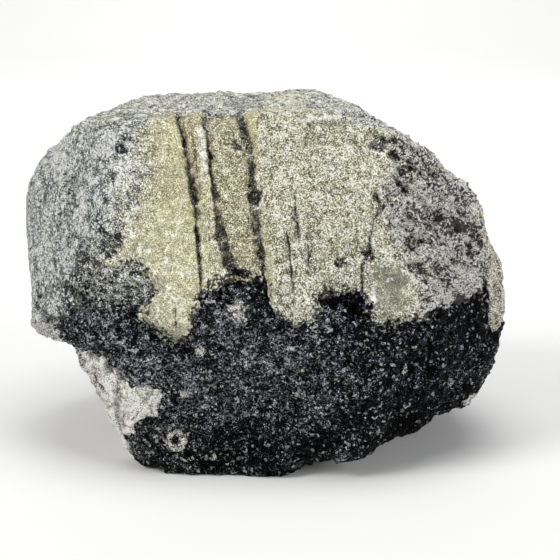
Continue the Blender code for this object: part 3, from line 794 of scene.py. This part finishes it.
def make_crystal(base, normals, faces, near, rim, behind):
    """The crystal's fine surface, which sinks under the schist."""
    found = places(base, normals)
    groove_depth, stain_and_shade, rust = grooves(base)
    dark = patches(base, DARK_PATCHES)
    creased = creases(base)
    # Painted shade: the creases and cracks are darkened, more where they are deeper.
    crack_shade = ramp(creased, 0.15, 0.6) * (0.3 + 0.7 * ramp(fractal(base, 0.8, 37, 2), -0.5, 0.2))
    relief = crystal_relief(base, found, groove_depth, dark, creased)
    stains_and_crack_shade = np.maximum(stain_and_shade, crack_shade)
    colours, masks = crystal_colours(base, found, stains_and_crack_shade, rust, dark, rim, painted_relief_shade(relief, near))
    height = relief * (1.0 - ramp(rim, 0.2, 1.5)) - SUNK_DEPTH * ramp(rim, 0.2, 2.2)
    points = kept_in_box(base + normals * height[:, None])
    spare = (rim > 1.2) | behind
    return add_mesh("phenakite_surface", points, faces, colours, masks, spare, CRYSTAL_TRIANGLES)


def make_schist(base, normals, faces, near, rim):
    """The schist's closed rind, whose edge lies on the crystal."""
    lip = np.interp(rim, [RIND_OVERLAP, 0.0, 1.2], [RIND_OVERLAP, 0.0, RIND_LIP])
    shaded_hollows = patches(base, SHADED_HOLLOWS)
    relief = schist_relief(base, shaded_hollows)
    height = lip + relief * ramp(rim, -0.2, 1.0)
    outer = kept_in_box(base + normals * height[:, None])
    inner = kept_in_box(base - normals * RIND_DEPTH)
    wanted = largest_island(rim > RIND_OVERLAP, near)
    points, rind_faces, used = shell(outer, inner, faces, wanted)
    colours, masks = schist_colours(base, rim, shaded_hollows, painted_relief_shade(relief, near))
    colours = np.concatenate([colours, colours])[used]
    masks = np.concatenate([masks, masks])[used]
    spare = used >= len(base)
    return add_mesh("schist_surface", points, rind_faces, colours, masks, spare, SCHIST_TRIANGLES)


def make_pieces():
    """Both pieces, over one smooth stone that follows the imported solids."""
    directions, faces = ball_directions()
    near = neighbours(faces, len(directions))
    reach, cover = cast_to_frame(directions)
    reach = smoothed(closed_gaps(reach, near), near, FORM_SMOOTHING)
    base = HEART + directions * reach[:, None]
    normals = normals_of(base, faces)
    ragged = 1.0 * fractal(base, 3.2, 21, 2) + 0.7 * fractal(base, 1.1, 24, 3)
    lobe = ramp(base[:, 0], 37.4, 38.4) * ramp(base[:, 2], 21.0, 23.0) * ramp(base[:, 1], 4.0, -2.0)
    rim = distance_to_rim(base, cover, near) + ragged - LOBE_BARED * lobe
    for *centre, width, drawn in REDRAWN:
        rim -= drawn * ramp(np.linalg.norm(base - np.array(centre), axis=1), width, 0.4 * width)
    chance = scrambled(np.stack([np.arange(len(base))] * 3, 1), 5)
    behind = (directions[:, 1] > 0.35) & (chance > 0.3)
    crystal = make_crystal(base, normals, faces, near, rim, behind)
    return crystal, make_schist(base, normals, faces, near, rim)


# ---- materials
WHITE_STONE = (0.87, 0.87, 0.84)
SILVER_FLAKE_AND_GLINT = (0.85, 0.86, 0.86, 1.0)
PALE_MINERAL = (0.45, 0.44, 0.38, 1.0)
MICA_GLINT = (0.42, 0.43, 0.42, 1.0)
FINE_GRAIN = 0.30
FINEST_GRAIN = 0.19
# How many stops the grain goes up and down, and its share of that in red, green and blue.
CRYSTAL_GRAIN = (2.9, (0.94, 1.0, 1.12))
SCHIST_GRAIN = (4.3, (1.0, 1.0, 0.94))
# How far apart the threads are, how wide in the noise they run along, and how many stops they add.
THREADS = [(0.70, 0.06, 1.7), (0.42, 0.05, 0.9), (0.93, 0.06, -1.3)]


class Nodes:
    """Short calls for building one material's nodes."""

    def __init__(self, name):
        self.material = bpy.data.materials.new(name)
        self.material.use_nodes = True
        self.tree = self.material.node_tree
        self.tree.nodes.clear()
        self.spot = self.add("ShaderNodeTexCoord").outputs["Object"]

    def add(self, kind, sockets=(), **settings):
        """A new node with these settings, and with these values or links in its sockets."""
        node = self.tree.nodes.new(kind)
        for key, value in settings.items():
            setattr(node, key, value)
        for key, value in dict(sockets).items():
            if isinstance(value, bpy.types.NodeSocket):
                self.tree.links.new(value, node.inputs[key])
            else:
                node.inputs[key].default_value = value
        return node

    def maths(self, operation, first, second=0.0, third=0.0):
        return self.add("ShaderNodeMath", {0: first, 1: second, 2: third}, operation=operation).outputs[0]

    def times(self, first, second):
        return self.maths("MULTIPLY", first, second)

    def vector(self, operation, first, second):
        return self.add("ShaderNodeVectorMath", {0: first, 1: second}, operation=operation).outputs

    def less(self, start, value, share):
        """The start less a share of the value."""
        return self.maths("SUBTRACT", start, self.times(value, share))

    def plus(self, total, value, share):
        """The total and a share of the value."""
        return self.maths("MULTIPLY_ADD", value, share, total)

    def mixed(self, share, first, second):
        return self.add("ShaderNodeMix", {0: share, 6: first, 7: second}, data_type="RGBA").outputs[2]

    def grain(self, size, detail=2.0, warp=0.0):
        """Noise from 0 to 1 whose lumps are this many millimetres across."""
        sockets = {"Vector": self.spot, "Scale": 1.0 / (size * METRES), "Detail": detail, "Distortion": warp}
        return self.add("ShaderNodeTexNoise", sockets).outputs[0]

    def grain_stops(self, fine, size, crispness):
        """Bright and dark of a granular rock: about 0 on the whole and about 1 up or down at most grains."""
        finest = self.maths("SUBTRACT", self.grain(FINEST_GRAIN, 1.0), 0.5)
        stops = self.plus(-0.15, self.maths("SUBTRACT", self.grain(size, 2.0), 0.5), 3.0)
        stops = self.plus(stops, self.maths("SUBTRACT", fine, 0.5), 5.5)
        stops = self.plus(stops, finest, crispness)
        for apart, width, share in THREADS:
            stops = self.plus(stops, self.threads(apart, width), share)
        return stops

    def threads(self, size, width):
        """Thin curling threads: 1 along them and 0 between."""
        away = self.maths("ABSOLUTE", self.maths("SUBTRACT", self.grain(size, 0.0, 1.6), 0.5))
        sockets = {"Value": away, "From Max": width, "To Min": 1.0, "To Max": 0.0}
        return self.add("ShaderNodeMapRange", sockets, clamp=True).outputs[0]

    def scaled(self, colour, factor):
        sockets = {0: colour, "Scale": factor}
        return self.add("ShaderNodeVectorMath", sockets, operation="SCALE").outputs[0]

    def toned(self, colour, stops, strength, shares):
        """The colour made brighter or darker by stops, more so in some of its parts, up to white stone."""
        stops = self.times(stops, strength)
        powers = [self.maths("POWER", 2.0, self.times(stops, share)) for share in shares]
        factors = self.add("ShaderNodeCombineXYZ", enumerate(powers)).outputs[0]
        return self.vector("MINIMUM", self.vector("MULTIPLY", colour, factors)[0], WHITE_STONE)[0]

    def flakes(self, size):
        """Cells of this size: a random number for each, and a height that tilts each its own way."""
        cell = self.add("ShaderNodeTexVoronoi", {"Vector": self.spot, "Scale": 1.0 / (size * METRES)}).outputs
        away = self.vector("SUBTRACT", self.spot, cell["Position"])[0]
        lean = self.vector("SUBTRACT", cell["Color"], (0.5, 0.5, 0.5))[0]
        return self.split(cell["Color"])[0], self.vector("DOT_PRODUCT", away, lean)["Value"]

    def over(self, value, threshold, softness):
        """1 where the value is over the threshold."""
        past = self.maths("SUBTRACT", value, threshold)
        sockets = {"Value": past, "From Min": -softness, "From Max": softness}
        return self.add("ShaderNodeMapRange", sockets, clamp=True).outputs[0]

    def attribute(self, name):
        return self.add("ShaderNodeAttribute", attribute_name=name).outputs["Color"]

    def split(self, colour):
        return self.add("ShaderNodeSeparateColor", {0: colour}).outputs[:3]

    def bumped(self, height, distance, under=None):
        sockets = {"Strength": 1.0, "Distance": distance, "Height": height}
        if under is not None:
            sockets["Normal"] = under
        return self.add("ShaderNodeBump", sockets).outputs[0]

    def finish(self, **sockets):
        named = {key.replace("_", " "): value for key, value in sockets.items()}
        shader = self.add("ShaderNodeBsdfPrincipled", named)
        self.add("ShaderNodeOutputMaterial", {"Surface": shader.outputs[0]})
        return self.material


def phenakite_material():
    """Granular pale crystal with dark specks and silvery flakes, whose white is partly painted glint."""
    nodes = Nodes("phenakite")
    body = nodes.attribute("body_colour")
    dark_cover, silver_and_glint, contrast = nodes.split(nodes.attribute("grain_masks"))
    fine = nodes.grain(FINE_GRAIN, 3.0, 1.2)
    chance, tilt = nodes.flakes(0.5)

    stops = nodes.times(nodes.grain_stops(fine, size=1.1, crispness=8.5), contrast)
    colour = nodes.toned(body, stops, *CRYSTAL_GRAIN)
    black = nodes.over(nodes.grain(0.55, 2.0), nodes.less(0.74, dark_cover, 0.44), 0.03)
    colour = nodes.scaled(colour, nodes.less(1.0, black, 0.93))
    # Silvery flakes: pale in the base colour, partly a painted glint.
    white = nodes.over(chance, nodes.less(1.0, silver_and_glint, 0.16), 0.02)
    colour = nodes.mixed(nodes.times(white, 0.7), colour, SILVER_FLAKE_AND_GLINT)

    roughness = nodes.less(0.60, white, 0.30)
    metallic = nodes.times(white, 0.25)
    leaning = nodes.times(tilt, nodes.maths("ADD", nodes.times(silver_and_glint, 0.9), 0.08))
    grainy = nodes.times(fine, nodes.maths("ADD", contrast, 0.15))
    normal = nodes.bumped(grainy, 0.0004, nodes.bumped(leaning, 1.0))
    return nodes.finish(
        Base_Color=colour, Roughness=roughness, Metallic=metallic, Normal=normal, Specular_IOR_Level=0.35
    )


def schist_material():
    """Dark flaky schist with pale grains and mica glints."""
    nodes = Nodes("mica_schist")
    body = nodes.attribute("body_colour")
    pale, mica, _ = nodes.split(nodes.attribute("grain_masks"))
    fine = nodes.grain(FINE_GRAIN, 3.0, 1.2)
    chance, tilt = nodes.flakes(0.45)

    stops = nodes.grain_stops(fine, size=1.0, crispness=2.0)
    colour = nodes.toned(body, stops, *SCHIST_GRAIN)
    grains = nodes.over(nodes.grain(0.9, 3.0), nodes.less(0.80, pale, 0.16), 0.03)
    colour = nodes.mixed(grains, colour, PALE_MINERAL)
    bright = nodes.over(chance, nodes.less(1.0, mica, 0.22), 0.02)
    colour = nodes.mixed(nodes.times(bright, 0.8), colour, MICA_GLINT)

    roughness = nodes.less(0.60, bright, 0.35)
    metallic = nodes.times(bright, 0.8)
    normal = nodes.bumped(fine, 0.0003, nodes.bumped(tilt, 1.0))
    return nodes.finish(
        Base_Color=colour, Roughness=roughness, Metallic=metallic, Normal=normal, Specular_IOR_Level=0.04
    )


def floor_material():
    nodes = Nodes("floor")
    shade = nodes.mixed(nodes.grain(60.0), (0.80, 0.80, 0.79, 1.0), (0.83, 0.83, 0.82, 1.0))
    return nodes.finish(Base_Color=shade, Roughness=0.85)


# ---- stage
CAMERA_DISTANCE = 263.7
CAMERA_ELEVATION = math.radians(15.0)
FRAME_WIDTH = 98.25
SENSOR = 36.0
# The picture is this many pixels each way, and the heart shows at HEART_PIXEL, from the top left.
PICTURE = 560.0
HEART_PIXEL = (266.0, 274.0)

FLOOR_HALF_WIDTH = 1800.0
FLOOR_FRONT = -1500.0
SWEEP_START = 500.0
SWEEP_RADIUS = 400.0
SWEEP_STEPS = 12
SWEEP_TOP = 2000.0


def add_camera():
    data = bpy.data.cameras.new("camera")
    camera = add_object("camera", data)
    back = Vector((0.0, -math.cos(CAMERA_ELEVATION), math.sin(CAMERA_ELEVATION)))
    camera.location = (Vector(HEART) + back * CAMERA_DISTANCE) * METRES
    camera.rotation_euler = (math.pi / 2.0 - CAMERA_ELEVATION, 0.0, 0.0)
    data.sensor_width = SENSOR
    data.lens = SENSOR * CAMERA_DISTANCE / FRAME_WIDTH
    data.shift_x = (PICTURE / 2.0 - HEART_PIXEL[0]) / PICTURE
    data.shift_y = (HEART_PIXEL[1] - PICTURE / 2.0) / PICTURE
    data.clip_start = 0.01
    bpy.context.scene.camera = camera


def add_light(name, place, width, watts, colour=(1.0, 1.0, 1.0), aim=tuple(HEART)):
    """A square softbox, aimed at the stone's heart unless told otherwise."""
    data = bpy.data.lights.new(name, "AREA")
    data.size = width * METRES
    data.energy = watts
    data.color = colour
    light = add_object(name, data)
    light.location = Vector(place) * METRES
    light.rotation_euler = (Vector(aim) - Vector(place)).to_track_quat("-Z", "Y").to_euler()


def add_floor():
    """A pale sweep: flat under the stone, rising smoothly far behind it."""
    profile = [(FLOOR_FRONT, 0.0), (SWEEP_START, 0.0)]
    for step in range(1, SWEEP_STEPS + 1):
        angle = math.pi / 2.0 * step / SWEEP_STEPS
        profile.append((SWEEP_START + SWEEP_RADIUS * math.sin(angle), SWEEP_RADIUS * (1.0 - math.cos(angle))))
    profile.append((SWEEP_START + SWEEP_RADIUS, SWEEP_TOP))
    sides = (-FLOOR_HALF_WIDTH, FLOOR_HALF_WIDTH)
    points = [(x * METRES, y * METRES, z * METRES) for x in sides for y, z in profile]
    count = len(profile)
    faces = [(i, i + count, i + count + 1, i + 1) for i in range(count - 1)]
    mesh = bpy.data.meshes.new("floor")
    mesh.from_pydata(points, [], faces)
    mesh.shade_smooth()
    mesh.materials.append(floor_material())
    add_object("floor", mesh)


def add_world():
    world = bpy.data.worlds.new("studio")
    world.use_nodes = True
    background = world.node_tree.nodes["Background"]
    background.inputs["Color"].default_value = (0.95, 0.97, 1.0, 1.0)
    background.inputs["Strength"].default_value = 0.19
    bpy.context.scene.world = world
    bpy.context.scene.view_settings.view_transform = "Standard"


# ---- the scene
add_camera()
add_light("key", (-330.0, -240.0, 390.0), 170.0, 1.28, (1.0, 0.99, 0.97))
add_light("top", (40.0, -40.0, 470.0), 280.0, 1.08)
add_light("left", (-430.0, -170.0, 130.0), 160.0, 0.52)
add_light("backdrop", (0.0, 260.0, 520.0), 500.0, 3.6, aim=(0.0, 900.0, 160.0))
add_light("fill", (370.0, -300.0, 220.0), 220.0, 0.91, (0.99, 0.99, 1.0))
add_light("right", (450.0, -110.0, 130.0), 160.0, 0.50)
add_world()
add_floor()
crystal_piece, schist_piece = make_pieces()
crystal_piece.data.materials.append(phenakite_material())
schist_piece.data.materials.append(schist_material())
for piece, node, slot in (
    (crystal_piece, "phenakite_crystal", "phenakite"),
    (schist_piece, "mica_schist", "mica_schist"),
):
    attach(piece, "root")
    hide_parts(node)
